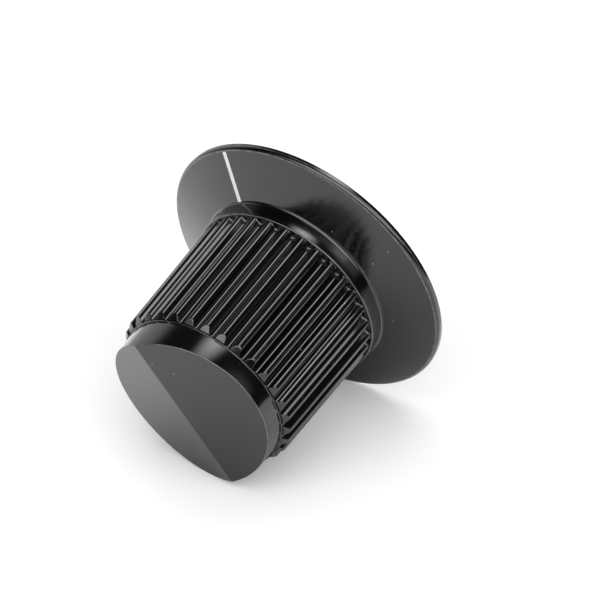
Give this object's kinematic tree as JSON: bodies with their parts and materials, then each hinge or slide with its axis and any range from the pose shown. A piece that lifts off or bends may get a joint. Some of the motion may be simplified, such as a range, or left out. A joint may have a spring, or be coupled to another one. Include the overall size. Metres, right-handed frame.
{
  "type": "potentiometer knob",
  "caption": "Black moulded control knob with a conical skirt, a reeded grip, a shallow roofed cap, a white pointer line and a brass shaft bush with a set screw.",
  "frame": {"origin": "centre of the skirt's rim, in the plane that faces the panel", "axes": "+Z along the shaft from the panel to the cap, +Y towards the pointer line, +X completes the right hand"},
  "size_m": [0.038, 0.038, 0.0275],
  "materials": {
    "black_phenolic": "glossy moulded phenolic",
    "turned_brass": "turned, slightly dulled",
    "screw_steel": "oiled alloy steel",
    "white_paint": "satin filler paint"
  },
  "bodies": {
    "root": {"knob_body": "black_phenolic", "shaft_bush": "turned_brass", "set_screw": "screw_steel", "pointer_line": "white_paint"}
  },
  "joints": []
}
